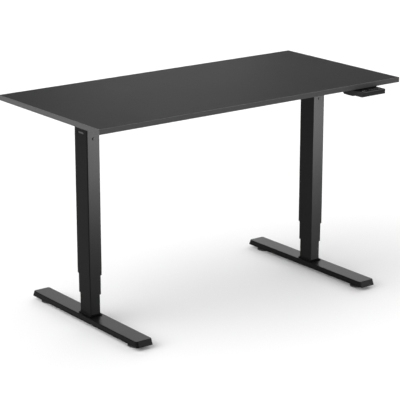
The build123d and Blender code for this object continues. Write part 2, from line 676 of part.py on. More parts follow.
def handset_outline(inset):
    """The handset's side outline, moved in by the wall thickness."""
    outline = Polygon(
        (HANDSET_BACK, UNDERSIDE),
        (MOUNT_FRONT, UNDERSIDE),
        (MOUNT_FRONT, HANDSET_TOP),
        (HANDSET_FRONT, HANDSET_TOP),
        (HANDSET_FRONT, TONGUE_BOTTOM),
        (TONGUE_STEP[0], TONGUE_BOTTOM),
        (TONGUE_STEP[1], HANDSET_BOTTOM),
        (HANDSET_BACK - 12, HANDSET_BOTTOM),
        (HANDSET_BACK, HANDSET_BOTTOM + 9),
        align=None,
    )
    outline = fillet(outline.vertices().sort_by(Axis.X)[:2], NOSE_RADIUS)
    return Plane.YZ * (offset(outline, -inset, kind=Kind.INTERSECTION) if inset else outline)


def handset_solid(inset):
    """The handset's outer shape, or the hollow inside it."""
    width = HANDSET_WIDTH - 2 * inset
    depth = HANDSET_BACK - HANDSET_FRONT - 2 * inset
    middle = (HANDSET_BACK + HANDSET_FRONT) / 2
    bar = Pos(HANDSET_X - width / 2, 0, 0) * extrude(handset_outline(inset), width)
    plan = prism((width, depth), HANDSET_CORNER_RADIUS - inset, HANDSET_BOTTOM - 5, UNDERSIDE + 5, HANDSET_X, middle)
    return bar & plan


def handset_shell():
    """The handset's hollow case, with its screw posts and the holes for keys and display."""
    shell = handset_solid(0) - handset_solid(HANDSET_WALL)
    for side in (-1, 1):
        x = HANDSET_X + side * HANDSET_POST_X
        shell += post(x, HANDSET_POST_Y, HANDSET_BOTTOM, UNDERSIDE, 7.0)
        shell -= post(x, HANDSET_POST_Y, HANDSET_BOTTOM - 1, UNDERSIDE - 5, 4.8)
        shell -= post(x, HANDSET_POST_Y, HANDSET_BOTTOM - 1, UNDERSIDE + 1, WOOD_SCREW_RADIUS + BOLT_CLEARANCE)
    recess = (FACE_PLATE[0] + 2 * FACE_FIT, FACE_PLATE[1] + 2 * FACE_FIT)
    shell -= face_block(0, 0, recess, -FACE_PLATE[2], 3, 3.0)
    for u, v, size in KEYS.values():
        hole = (size[0] + 2 * KEY_FIT, size[1] + 2 * KEY_FIT)
        shell -= face_block(u, v, hole, -6, 1, 1.5)
    shell -= face_block(DISPLAY_U, 0, DISPLAY_SIZE, -6, 1, 1.5)
    cable_hole = rod_y(HANDSET_X, HANDSET_BACK - 6, HANDSET_BACK + 1, UNDERSIDE - 12, 2.6)
    return shell - cable_hole


def handset_face():
    """The thin face plate let into the handset's top."""
    plate = face_block(0, 0, FACE_PLATE[:2], -FACE_PLATE[2], 0, 3.0)
    for u, v, size in KEYS.values():
        hole = (size[0] + 2 * KEY_FIT, size[1] + 2 * KEY_FIT)
        plate -= face_block(u, v, hole, -3, 1, 1.5)
    return plate - face_block(DISPLAY_U, 0, DISPLAY_SIZE, -3, 1, 1.5)


def display_window():
    """The clear window of the height display."""
    size = (DISPLAY_SIZE[0] - 0.2, DISPLAY_SIZE[1] - 0.2)
    return face_block(DISPLAY_U, 0, size, -3.2, -0.2, 1.4)


def handset_board():
    """The handset's circuit board, with the display module and key switches."""
    board = face_block(0, 0, (98, 28), -BOARD_DEPTH - 1.6, -BOARD_DEPTH)
    board += face_block(DISPLAY_U, 0, (30, 14), -BOARD_DEPTH, -3.6)
    for u, v, size in KEYS.values():
        board += face_block(u, v, (4, 4), -BOARD_DEPTH, -BOARD_DEPTH + 0.1)
    return board


def key(u, v, size):
    """A moulded key: a rounded cap on a stem above its switch."""
    cap = face_block(u, v, size, -2.0, KEY_HEIGHT, 1.3)
    cap = fillet(cap.faces().sort_by(Axis.Z)[-1].edges(), 0.6)
    return cap + face_block(u, v, (size[0] - 4, size[1] - 4), -KEY_STEM, -2.0)


# ---- write every node ----------------------------------------------------
def main():
    os.makedirs("parts", exist_ok=True)

    save(desktop_panel(), "desktop_panel")
    save(edge_band(), "edge_band")
    save([wood_screw(*place) for place in desktop_screw_places()], "desktop_screws")
    save(bracket_pads(), "bracket_pads")

    save(rail(-1), "front_rail")
    save(rail(1), "rear_rail")
    save(frame_bolts(), "frame_bolts")
    save_pair(column_head(), "column_head")
    save_pair(side_bracket(), "side_bracket")

    save_pair(gear_housing(), "gear_housing")
    save_pair(motor(), "motor")
    save_pair(worm(), "worm")
    save_pair(worm_wheel(), "worm_wheel")
    save(both_sides(spindle_bearing()), "spindle_bearings")

    save_pair(outer_tube(), "outer_tube")
    save_pair(guide(OUTER_SIZE, OUTER_RADIUS, OUTER_BOTTOM), "outer_guide")
    save_pair(spindle(), "spindle")
    save_pair(tube(MIDDLE_SIZE, MIDDLE_RADIUS, MIDDLE_BOTTOM, MIDDLE_TOP), "middle_tube")
    save_pair(guide(MIDDLE_SIZE, MIDDLE_RADIUS, MIDDLE_BOTTOM), "middle_guide")
    save_pair(middle_nut(), "middle_nut")
    save_pair(hollow_screw(), "hollow_screw")
    save_pair(tube(INNER_SIZE, INNER_RADIUS, BASE_PLATE_TOP, INNER_TOP), "inner_tube")
    save_pair(inner_nut(), "inner_nut")

    save_pair(foot(), "foot")
    save(both_sides(base_plate()), "base_plates")
    bolts = [foot_bolt(x, y) for x, y in foot_bolt_points()]
    save([solid for bolt in bolts for solid in both_sides(bolt)], "foot_bolts")
    nuts = [glide_nut(-GLIDE_Y), glide_nut(GLIDE_Y)]
    save([solid for nut in nuts for solid in both_sides(nut)], "glide_nuts")
    save_pair(glide(-GLIDE_Y), "front_glide")
    save_pair(glide(GLIDE_Y), "rear_glide")

    save(control_box_lid(), "control_box_lid")
    save(control_box_shell(), "control_box_shell")
    save(control_board(), "control_board")
    save(socket_panel(), "socket_panel")

    save(handset_shell(), "handset_shell")
    save(handset_face(), "handset_face")
    save(handset_board(), "handset_board")
    save(display_window(), "display_window")
    for node, (u, v, size) in KEYS.items():
        save(key(u, v, size), node)


main()
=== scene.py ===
import json
import logging
import math
from dataclasses import dataclass, field
from enum import Enum
from typing import Iterable, Optional, Sequence

import bmesh
import bpy
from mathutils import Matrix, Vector

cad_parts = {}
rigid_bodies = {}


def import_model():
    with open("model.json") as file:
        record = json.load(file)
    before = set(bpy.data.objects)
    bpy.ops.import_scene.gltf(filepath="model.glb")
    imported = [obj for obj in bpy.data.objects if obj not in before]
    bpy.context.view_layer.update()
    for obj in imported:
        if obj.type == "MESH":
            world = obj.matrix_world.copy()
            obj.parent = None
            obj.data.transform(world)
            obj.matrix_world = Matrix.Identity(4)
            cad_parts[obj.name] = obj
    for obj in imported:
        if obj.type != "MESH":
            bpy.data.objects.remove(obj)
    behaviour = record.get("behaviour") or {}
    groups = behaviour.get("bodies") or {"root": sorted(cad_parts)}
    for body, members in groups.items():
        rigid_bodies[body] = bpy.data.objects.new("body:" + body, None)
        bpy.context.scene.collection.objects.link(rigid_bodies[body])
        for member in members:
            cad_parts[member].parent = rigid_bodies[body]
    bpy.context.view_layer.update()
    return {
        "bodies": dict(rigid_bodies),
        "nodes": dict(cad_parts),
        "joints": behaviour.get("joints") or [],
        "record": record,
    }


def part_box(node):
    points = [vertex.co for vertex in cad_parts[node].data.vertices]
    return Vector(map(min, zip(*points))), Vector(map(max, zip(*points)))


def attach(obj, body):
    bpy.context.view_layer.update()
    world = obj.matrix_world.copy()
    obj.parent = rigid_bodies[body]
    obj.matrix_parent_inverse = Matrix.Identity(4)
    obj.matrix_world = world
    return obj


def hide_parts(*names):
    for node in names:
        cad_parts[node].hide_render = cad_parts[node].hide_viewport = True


# Looks for a height adjustable standing desk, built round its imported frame.
# Metres, +Z up, +X to the user's right, +Y away from the user.

MM = 0.001
LOG = logging.getLogger("standing_desk")

Colour = tuple[float, float, float, float]

# Edges sharper than these many radians stay sharp in the shading.
SHARP_EDGE = 0.6
SHARP_THREAD = 1.2

# Worn edges: how far the softened normal may turn from the face's before wear starts, where
# it is complete, how much of the wear colour shows there, and how wide it reaches.
WEAR_STARTS = 0.97
WEAR_COMPLETE = 0.80
WEAR_SHARE = 0.6
WEAR_REACH = 1.2


# ---- small helpers -------------------------------------------------------
def linear(hex_code: str) -> Colour:
    """Turn an sRGB hex colour into linear values.

    Args:
        hex_code: six hex digits, such as "1c1c1d".

    Returns:
        Red, green, blue and an alpha of 1, all linear.
    """
    parts = [int(hex_code[i : i + 2], 16) / 255 for i in (0, 2, 4)]
    values = [c / 12.92 if c <= 0.04045 else ((c + 0.055) / 1.055) ** 2.4 for c in parts]
    return (values[0], values[1], values[2], 1.0)


def add_node(
    tree: bpy.types.NodeTree,
    kind: str,
    settings: Optional[dict] = None,
    values: Optional[dict] = None,
    links: Optional[dict] = None,
) -> bpy.types.Node:
    """Add one node with its settings, its socket values and its incoming links.

    Args:
        tree: the material's or world's node tree.
        kind: the node's type name.
        settings: attributes of the node itself.
        values: input socket name or index to its value.
        links: input socket name or index to the output socket that feeds it.

    Returns:
        The new node.
    """
    node = tree.nodes.new(kind)
    for name, value in (settings or {}).items():
        setattr(node, name, value)
    for socket, value in (values or {}).items():
        node.inputs[socket].default_value = value
    for socket, source in (links or {}).items():
        tree.links.new(source, node.inputs[socket])
    return node


def per_metre(size_mm: float) -> float:
    """The scale of a texture whose features are size_mm apart, in object space."""
    return 1.0 / (size_mm * MM)


def mesh_piece(
    name: str, bm: bmesh.types.BMesh, smooth_angle: float = SHARP_EDGE
) -> bpy.types.Object:
    """Turn a bmesh into an object in the scene, with smooth shading below an angle.

    Args:
        name: the piece's name.
        bm: the finished bmesh, in the row frame. It is freed here.
        smooth_angle: edges sharper than this many radians stay sharp.

    Returns:
        The new object.
    """
    bmesh.ops.recalc_face_normals(bm, faces=bm.faces)
    for face in bm.faces:
        face.smooth = True
    for edge in bm.edges:
        if len(edge.link_faces) == 2 and edge.calc_face_angle(0.0) > smooth_angle:
            edge.smooth = False
    mesh = bpy.data.meshes.new(name)
    bm.to_mesh(mesh)
    bm.free()
    piece = bpy.data.objects.new(name, mesh)
    bpy.context.scene.collection.objects.link(piece)
    return piece


def rounded_rectangle(
    width: float, depth: float, radius: float, step: float
) -> list[tuple[Vector, Vector]]:
    """Walk round a rounded rectangle centred on the origin.

    Args:
        width: size along X.
        depth: size along Y.
        radius: corner radius.
        step: longest distance between two points.

    Returns:
        Points with their outward normals, anticlockwise.
    """
    points: list[tuple[Vector, Vector]] = []
    corners = ((1, 1, 0.0), (-1, 1, 0.5), (-1, -1, 1.0), (1, -1, 1.5))
    arc_steps = max(3, math.ceil(radius * math.pi / 2 / step))
    for index, (sx, sy, turn) in enumerate(corners):
        centre = Vector((sx * (width / 2 - radius), sy * (depth / 2 - radius)))
        for i in range(arc_steps + 1):
            angle = math.pi * (turn + 0.5 * i / arc_steps)
            normal = Vector((math.cos(angle), math.sin(angle)))
            points.append((centre + normal * radius, normal))
        side = (width if index % 2 == 0 else depth) - 2 * radius
        normal = points[-1][1]
        along = Vector((-normal.y, normal.x))
        start = points[-1][0]
        side_steps = max(1, math.ceil(side / step))
        for i in range(1, side_steps):
            points.append((start + along * (side * i / side_steps), normal))
    return points


def closed_loft(
    bm: bmesh.types.BMesh, rings: Sequence[Sequence[Vector]], closed: bool = False
) -> None:
    """Skin rings of equal length, and cap both ends or join the last ring to the first.

    Args:
        bm: the bmesh to add to.
        rings: rings of points, each a closed loop.
        closed: whether the last ring joins the first, as in a torus.
    """
    made = [[bm.verts.new(point) for point in ring] for ring in rings]
    count = len(made[0])
    spans = len(made) if closed else len(made) - 1
    for r in range(spans):
        low, high = made[r], made[(r + 1) % len(made)]
        for i in range(count):
            j = (i + 1) % count
            bm.faces.new((low[i], low[j], high[j], high[i]))
    if not closed:
        bm.faces.new(made[0])
        bm.faces.new(made[-1])


def lathe(
    bm: bmesh.types.BMesh,
    centre: Vector,
    outline: Sequence[tuple[float, float]],
    segments: int,
) -> None:
    """Turn an outline of (radius, height) points round an upright axis.

    Args:
        bm: the bmesh to add to.
        centre: a point on the axis; heights are measured from it.
        outline: radius and height pairs, from the bottom up, with no zero radius.
        segments: how many steps go round.
    """
    angles = [2 * math.pi * i / segments for i in range(segments)]
    rings = [
        [centre + Vector((r * math.cos(a), r * math.sin(a), z)) for a in angles] for r, z in outline
    ]
    closed_loft(bm, rings)


# ---- finishes ------------------------------------------------------------
class Pattern(Enum):
    """How a surface's fine relief is laid out."""

    PEBBLED = "pebbled"  # rounded bumps, as in orange peel or a sprayed texture
    GRITTY = "gritty"  # sharper grains, as in spark erosion or sand casting
    DRAWN = "drawn"  # fine lines along the piece, as in extrusion or grinding


@dataclass(frozen=True)
class Finish:
    """One real material and how its surface was made.

    The base class lays down colour mottling, roughness variation, a fine relief and softened
    edges. Each finish below gives its own numbers, and a few add layers of their own.
    """

    name: str
    colour: str
    mottle: str
    roughness: float
    roughness_swing: float = 0.05
    metallic: float = 0.0
    specular: float = 0.5
    coat: float = 0.0
    coat_roughness: float = 0.1
    pattern: Pattern = Pattern.PEBBLED
    grain_mm: float = 1.2
    relief_mm: float = 0.02
    mottle_mm: float = 60.0
    edge_radius_mm: float = 0.5
    wear: Optional[str] = None
    stretch: tuple[float, float, float] = (1.0, 1.0, 1.0)

    def build(self) -> bpy.types.Material:
        """Make the Blender material.

        Returns:
            The finished material.
        """
        material = bpy.data.materials.new(self.name)
        material.use_nodes = True
        tree = material.node_tree
        tree.nodes.clear()
        shader = add_node(
            tree,
            "ShaderNodeBsdfPrincipled",
            values={
                "Metallic": self.metallic,
                "Coat Weight": self.coat,
                "Coat Roughness": self.coat_roughness,
            },
        )
        if self.metallic == 0.0:
            shader.inputs["Specular IOR Level"].default_value = self.specular
        add_node(tree, "ShaderNodeOutputMaterial", links={"Surface": shader.outputs["BSDF"]})
        place = add_node(tree, "ShaderNodeTexCoord").outputs["Object"]
        grain = self.relief(tree, place)
        self.paint(tree, shader, place, grain)
        self.shape(tree, shader, grain)
        return material

    def relief(self, tree: bpy.types.NodeTree, place: bpy.types.NodeSocket) -> bpy.types.NodeSocket:
        """Lay out the fine relief.

        Args:
            tree: the material's nodes.
            place: object coordinates.

        Returns:
            A height from 0 to 1.
        """
        stretched = add_node(
            tree, "ShaderNodeMapping", values={"Scale": self.stretch}, links={"Vector": place}
        ).outputs["Vector"]
        if self.pattern is Pattern.GRITTY:
            cells = add_node(
                tree,
                "ShaderNodeTexVoronoi",
                settings={"feature": "F1"},
                values={"Scale": per_metre(self.grain_mm), "Randomness": 1.0},
                links={"Vector": stretched},
            )
            return cells.outputs["Distance"]
        detail = 1.0 if self.pattern is Pattern.PEBBLED else 3.0
        noise = add_node(
            tree,
            "ShaderNodeTexNoise",
            values={"Scale": per_metre(self.grain_mm), "Detail": detail, "Roughness": 0.5},
            links={"Vector": stretched},
        )
        return noise.outputs["Fac"]

    def paint(
        self,
        tree: bpy.types.NodeTree,
        shader: bpy.types.Node,
        place: bpy.types.NodeSocket,
        grain: bpy.types.NodeSocket,
    ) -> None:
        """Colour the surface: two close tones in broad patches, then worn edges if it has them.

        Args:
            tree: the material's nodes.
            shader: the Principled node.
            place: object coordinates.
            grain: the fine relief's height.
        """
        patches = add_node(
            tree,
            "ShaderNodeTexNoise",
            values={"Scale": per_metre(self.mottle_mm), "Detail": 4.0, "Roughness": 0.6},
            links={"Vector": place},
        ).outputs["Fac"]
        share = add_node(
            tree,
            "ShaderNodeMath",
            settings={"operation": "MULTIPLY_ADD"},
            values={1: 0.5, 2: 0.0},
            links={0: patches},
        ).outputs["Value"]
        both = add_node(
            tree,
            "ShaderNodeMath",
            settings={"operation": "MULTIPLY_ADD"},
            values={1: 0.5},
            links={0: grain, 2: share},
        ).outputs["Value"]
        colour = add_node(
            tree,
            "ShaderNodeMix",
            settings={"data_type": "RGBA"},
            values={6: linear(self.colour), 7: linear(self.mottle)},
            links={0: both},
        ).outputs[2]
        if self.wear:
            colour = self.worn(tree, colour)
        tree.links.new(colour, shader.inputs["Base Color"])
        rough = add_node(
            tree,
            "ShaderNodeMapRange",
            values={
                "To Min": self.roughness - self.roughness_swing,
                "To Max": self.roughness + self.roughness_swing,
            },
            links={"Value": both},
        ).outputs["Result"]
        tree.links.new(rough, shader.inputs["Roughness"])

    def worn(self, tree: bpy.types.NodeTree, colour: bpy.types.NodeSocket) -> bpy.types.NodeSocket:
        """Lighten the sharp edges, where handling thins the surface.

        Args:
            tree: the material's nodes.
            colour: the colour so far.

        Returns:
            The colour with worn edges.
        """
        normal = add_node(tree, "ShaderNodeNewGeometry").outputs["Normal"]
        soft = add_node(
            tree,
            "ShaderNodeBevel",
            settings={"samples": 4},
            values={"Radius": WEAR_REACH * self.edge_radius_mm * MM},
        ).outputs["Normal"]
        alike = add_node(
            tree,
            "ShaderNodeVectorMath",
            settings={"operation": "DOT_PRODUCT"},
            links={0: normal, 1: soft},
        ).outputs["Value"]
        edge = add_node(
            tree,
            "ShaderNodeMapRange",
            values={"From Min": WEAR_STARTS, "From Max": WEAR_COMPLETE, "To Max": WEAR_SHARE},
            links={"Value": alike},
        ).outputs["Result"]
        return add_node(
            tree,
            "ShaderNodeMix",
            settings={"data_type": "RGBA"},
            values={7: linear(self.wear or self.colour)},
            links={0: edge, 6: colour},
        ).outputs[2]

    def shape(
        self, tree: bpy.types.NodeTree, shader: bpy.types.Node, grain: bpy.types.NodeSocket
    ) -> None:
        """Soften the edges and raise the grain in the shading.

        Args:
            tree: the material's nodes.
            shader: the Principled node.
            grain: the fine relief's height.
        """
        soft = add_node(
            tree,
            "ShaderNodeBevel",
            settings={"samples": 4},
            values={"Radius": self.edge_radius_mm * MM},
        ).outputs["Normal"]
        bump = add_node(
            tree,
            "ShaderNodeBump",
            values={"Strength": 1.0, "Distance": self.relief_mm * MM},
            links={"Height": grain, "Normal": soft},
        ).outputs["Normal"]
        tree.links.new(bump, shader.inputs["Normal"])


@dataclass(frozen=True)
class Readout(Finish):
    """Lit segments behind a smoked window: a plain glow, even all over."""

    glow: float = 1.0

    def build(self) -> bpy.types.Material:
        """Make the Blender material, with the glow added to the moulded surface.

        Returns:
            The finished material.
        """
        material = super().build()
        shader = next(n for n in material.node_tree.nodes if n.type == "BSDF_PRINCIPLED")
        shader.inputs["Emission Color"].default_value = linear(self.colour)
        shader.inputs["Emission Strength"].default_value = self.glow
        return material


# Melamine laminate, pressed against a fine-textured plate: a deep matt black whose small
# pebbles break up reflections, so the top looks even and slightly greyer at a low angle.
# The real pebble is about 0.3 mm; it is drawn at 1.4 mm so that it shows. The specular
# level is well below a real laminate's, so that the top stays dark under a pale surround.
LAMINATE = Finish(
    name="melamine_laminate_matt_pressed",
    colour="1b1b1b",
    mottle="222222",
    roughness=0.64,
    roughness_swing=0.05,
    specular=0.015,
    grain_mm=1.4,
    relief_mm=0.05,
    mottle_mm=180.0,
    edge_radius_mm=0.4,
)

# ABS edging, extruded and trimmed: smoother and a little lighter than the laminate, with
# faint lines along its length from the trimming cutter.
EDGING = Finish(
    name="abs_edging_extruded",
    colour="434343",
    mottle="4a4a4a",
    roughness=0.5,
    specular=0.15,
    pattern=Pattern.DRAWN,
    grain_mm=1.0,
    relief_mm=0.01,
    stretch=(0.02, 0.02, 1.0),
    edge_radius_mm=0.8,
    wear="5a5a5a",
)

# Polyester powder coat on steel, sprayed and baked: low orange-peel bumps a millimetre or
# two across give a broken satin highlight on a very dark body. The specular level is well
# below a real coat's, so that the sides stay dark above a pale floor.
POWDER_COAT = Finish(
    name="polyester_powder_coat_fine_texture",
    colour="080808",
    mottle="0d0d0d",
    roughness=0.36,
    roughness_swing=0.04,
    specular=0.05,
    grain_mm=1.6,
    relief_mm=0.03,
    mottle_mm=90.0,
    edge_radius_mm=0.8,
    wear="1c1c1c",
)

# Zinc plate on steel, bright: a cool blue-grey metal with a faint cloudiness.
ZINC = Finish(
    name="steel_bright_zinc_plated",
    colour="c4c6c8",
    mottle="a9adb0",
    roughness=0.28,
    metallic=1.0,
    grain_mm=0.8,
    relief_mm=0.004,
    mottle_mm=6.0,
)

# Black oxide on screws and bolts: the oxide hides the metal, so they are a dull, slightly
# oily black that catches a little more light than the coat round them.
BLACK_OXIDE = Finish(
    name="steel_black_oxide",
    colour="141414",
    mottle="0e0e0e",
    roughness=0.4,
    specular=0.075,
    grain_mm=0.8,
    relief_mm=0.004,
    mottle_mm=5.0,
    wear="303030",
)

# Ground and rolled steel of the screws, worms and bearings: bright, with fine turning lines.
GROUND_STEEL = Finish(
    name="steel_rolled_and_greased",
    colour="b0b1b3",
    mottle="97989a",
    roughness=0.25,
    metallic=1.0,
    pattern=Pattern.DRAWN,
    grain_mm=0.6,
    relief_mm=0.006,
    mottle_mm=14.0,
    stretch=(0.05, 0.05, 1.0),
)

# Pressure die-cast aluminium, left as cast: the skin is a dull mid grey, gritty from the
# mould, with flow marks.
CAST_ALUMINIUM = Finish(
    name="aluminium_die_cast",
    colour="636467",
    mottle="545558",
    roughness=0.5,
    metallic=1.0,
    pattern=Pattern.GRITTY,
    grain_mm=0.9,
    relief_mm=0.03,
    mottle_mm=12.0,
)

# Machined bronze worm wheel: warm, bright on its turned faces.
BRONZE = Finish(
    name="bronze_machined",
    colour="b98a4a",
    mottle="9c7238",
    roughness=0.3,
    metallic=1.0,
    pattern=Pattern.DRAWN,
    grain_mm=0.5,
    relief_mm=0.006,
    mottle_mm=9.0,
    stretch=(1.0, 1.0, 0.1),
)

# Black acetal guide, injection moulded: waxy satin.
ACETAL = Finish(
    name="acetal_black_moulded",
    colour="1b1b1c",
    mottle="232324",
    roughness=0.35,
    grain_mm=0.8,
    relief_mm=0.006,
    mottle_mm=20.0,
)

# Natural acetal nut, injection moulded: milky white, waxy.
NATURAL_ACETAL = Finish(
    name="acetal_natural_moulded",
    colour="e4e3de",
    mottle="d8d6cf",
    roughness=0.35,
    grain_mm=0.8,
    relief_mm=0.006,
    mottle_mm=20.0,
)

# Stoved enamel on the motor can: smooth dark grey with a soft gloss.
MOTOR_ENAMEL = Finish(
    name="steel_stoved_enamel",
    colour="2c2d2f",
    mottle="343537",
    roughness=0.32,
    grain_mm=2.5,
    relief_mm=0.02,
    mottle_mm=25.0,
    wear="4c4d4f",
)

# Glass-filled nylon glide, injection moulded: dull black with a dry, slightly scuffed skin.
NYLON = Finish(
    name="nylon_glass_filled_moulded",
    colour="181819",
    mottle="242425",
    roughness=0.55,
    pattern=Pattern.GRITTY,
    grain_mm=0.7,
    relief_mm=0.02,
    mottle_mm=8.0,
    wear="3a3a3b",
)

# Nitrile rubber pad, die cut: flat black with almost no highlight.
RUBBER = Finish(
    name="nitrile_rubber_die_cut",
    colour="141415",
    mottle="1c1c1d",
    roughness=0.8,
    specular=0.3,
    grain_mm=0.5,
    relief_mm=0.02,
    mottle_mm=10.0,
)

# ABS case, moulded in a spark-eroded tool: even, fine sandy texture that keeps it matt.
# The real grain is about 0.15 mm; it is drawn at 0.6 mm so that it shows.
MOULDED_ABS = Finish(
    name="abs_moulded_spark_eroded",
    colour="141414",
    mottle="1b1b1b",
    roughness=0.5,
    specular=0.18,
    pattern=Pattern.GRITTY,
    grain_mm=0.6,
    relief_mm=0.02,
    mottle_mm=30.0,
    edge_radius_mm=0.6,
    wear="2a2a2a",
)

# ABS face plate, moulded in a polished tool: smooth and glossy, with faint handling marks.
GLOSS_ABS = Finish(
    name="abs_moulded_polished",
    colour="0f0f0f",
    mottle="141414",
    roughness=0.2,
    roughness_swing=0.06,
    specular=0.2,
    grain_mm=3.0,
    relief_mm=0.004,
    mottle_mm=15.0,
    coat=0.1,
    coat_roughness=0.08,
)

# Smoked acrylic display window: near black and mirror smooth.
SMOKED_ACRYLIC = Finish(
    name="acrylic_smoked_polished",
    colour="08080a",
    mottle="0c0c0e",
    roughness=0.08,
    roughness_swing=0.02,
    specular=0.3,
    grain_mm=6.0,
    relief_mm=0.001,
    mottle_mm=20.0,
    edge_radius_mm=0.2,
)

# ABS keys, moulded satin: a touch lighter than the face plate, worn smoother on top.
KEY_ABS = Finish(
    name="abs_moulded_satin",
    colour="1f1f1f",
    mottle="272727",
    roughness=0.4,
    specular=0.2,
    grain_mm=0.6,
    relief_mm=0.006,
    mottle_mm=6.0,
    edge_radius_mm=0.3,
)

# Glass-epoxy circuit board under solder mask: green with a slight weave.
CIRCUIT_BOARD = Finish(
    name="glass_epoxy_solder_masked",
    colour="1c5a34",
    mottle="14482a",
    roughness=0.35,
    pattern=Pattern.DRAWN,
    grain_mm=0.8,
    relief_mm=0.01,
    mottle_mm=12.0,
)

# Pad-printed ink on the keys: flat mid grey, slightly uneven at the edges.
PRINT_INK = Finish(
    name="pad_print_ink",
    colour="7c7c7c",
    mottle="707070",
    roughness=0.6,
    grain_mm=0.4,
    relief_mm=0.004,
    mottle_mm=2.0,
    edge_radius_mm=0.05,
)

# Lit segments of the height display, seen through the smoked window.
SEGMENTS = Readout(
    name="display_segments_lit",
    colour="8a8c8e",
    mottle="808284",
    roughness=0.4,
    grain_mm=0.4,
    relief_mm=0.001,
    mottle_mm=4.0,
    edge_radius_mm=0.05,
    glow=0.08,
)

SLOT_FINISHES: dict[str, Finish] = {
    "black_laminate_board": LAMINATE,
    "abs_edging": EDGING,
    "powder_coated_steel": POWDER_COAT,
    "zinc_plated_steel": ZINC,
    "blackened_steel": BLACK_OXIDE,
    "ground_steel": GROUND_STEEL,
    "die_cast_aluminium": CAST_ALUMINIUM,
    "bronze": BRONZE,
    "acetal": ACETAL,
    "natural_acetal": NATURAL_ACETAL,
    "motor_can": MOTOR_ENAMEL,
    "glide_nylon": NYLON,
    "pad_rubber": RUBBER,
    "moulded_abs": MOULDED_ABS,
    "gloss_abs": GLOSS_ABS,
    "smoked_acrylic": SMOKED_ACRYLIC,
    "key_abs": KEY_ABS,
    "circuit_board": CIRCUIT_BOARD,
}


@dataclass
class Paintbox:
    """Makes each finish once and hands it out."""

    made: dict[str, bpy.types.Material] = field(default_factory=dict)

    def get(self, finish: Finish) -> bpy.types.Material:
        """Hand out the material for a finish, made the first time it is asked for.

        Args:
            finish: what the piece is made of.

        Returns:
            The finish's one material.
        """
        if finish.name not in self.made:
            self.made[finish.name] = finish.build()
        return self.made[finish.name]

    def coat(self, piece: bpy.types.Object, finish: Finish) -> None:
        """Put one finish on every slot of a piece.

        Args:
            piece: a CAD node's object or a new piece.
            finish: what it is made of.
        """
        material = self.get(finish)
        if not piece.material_slots:
            piece.data.materials.append(material)
        for slot in piece.material_slots:
            slot.material = material


@dataclass
class SubAssembly:
    """What every part of the desk shares: the frame, the paints, and how a piece joins in."""

    frame: dict
    paints: Paintbox

    def add(
        self,
        piece: bpy.types.Object,
        body: str,
        finish: Finish,
        slot: str,
        replaces: Iterable[str] = (),
    ) -> bpy.types.Object:
        """Finish a new piece and fasten it to its body.

        Args:
            piece: the new piece, in the row frame.
            body: the body that it moves with.
            finish: what it is made of.
            slot: the record's material slot for it; not used.
            replaces: CAD nodes that it stands for.

        Returns:
            The same piece.
        """
        self.paints.coat(piece, finish)
        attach(piece, body)
        if replaces:
            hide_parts(*replaces)
        LOG.info("%s rides on %s in %s", piece.name, body, finish.name)
        return piece


@dataclass
class CarriedNodes(SubAssembly):
    """The CAD nodes that are shown as they are, each in its own finish."""

    def build(self) -> None:
        """Give every CAD node the finish that its slot in the record calls for."""
        slots = {s["node"]: s["material_slot"] for s in self.frame["record"]["subparts"]}
        for node, piece in sorted(self.frame["nodes"].items()):
            finish = SLOT_FINISHES[slots[node]]
            self.paints.coat(piece, finish)
            LOG.info("%s is %s", node, finish.name)


@dataclass
class Weld(SubAssembly):
    """A fillet weld's rippled bead round a rectangular tube.

    The bead's section is an arc that is pulled in at its middle, to the flattest share of the
    leg, and gains the fullest share again towards the tube and the plate.
    """

    leg: float = 3.0 * MM
    ripple: float = 1.6 * MM
    ripple_depth: float = 0.35 * MM
    step: float = 0.5 * MM
    corner: float = 3.5 * MM
    section_steps: int = 5
    flattest: float = 0.86
    fullest: float = 0.14

    def run(self, name: str, tube: str, plate_z: float, upwards: bool, body: str) -> None:
        """Lay one bead round a tube where it meets a plate.

        Args:
            name: the bead's name.
            tube: the CAD node of the tube.
            plate_z: height of the plate's face.
            upwards: whether the bead climbs the tube above the plate, or hangs below it.
            body: the body that it moves with.
        """
        low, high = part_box(tube)
        centre = (low + high) / 2
        path = rounded_rectangle(high.x - low.x, high.y - low.y, self.corner, self.step)
        rise = 1.0 if upwards else -1.0
        rings = []
        travelled = 0.0
        previous = path[-1][0]
        for point, normal in path:
            travelled += (point - previous).length
            previous = point
            wave = 0.5 + 0.5 * math.cos(2 * math.pi * travelled / self.ripple)
            reach = self.leg - self.ripple_depth * wave
            ring = [Vector((centre.x + point.x, centre.y + point.y, plate_z))]
            for i in range(self.section_steps + 1):
                angle = 0.5 * math.pi * i / self.section_steps
                bulge = reach * (self.flattest + self.fullest * abs(math.cos(2 * angle)))
                out = normal * (bulge * math.cos(angle))
                up = rise * bulge * math.sin(angle)
                ring.append(
                    Vector((centre.x + point.x + out.x, centre.y + point.y + out.y, plate_z + up))
                )
            rings.append(ring)
        bm = bmesh.new()
        closed_loft(bm, rings, closed=True)
        self.add(mesh_piece(name, bm), body, POWDER_COAT, "powder_coated_steel")


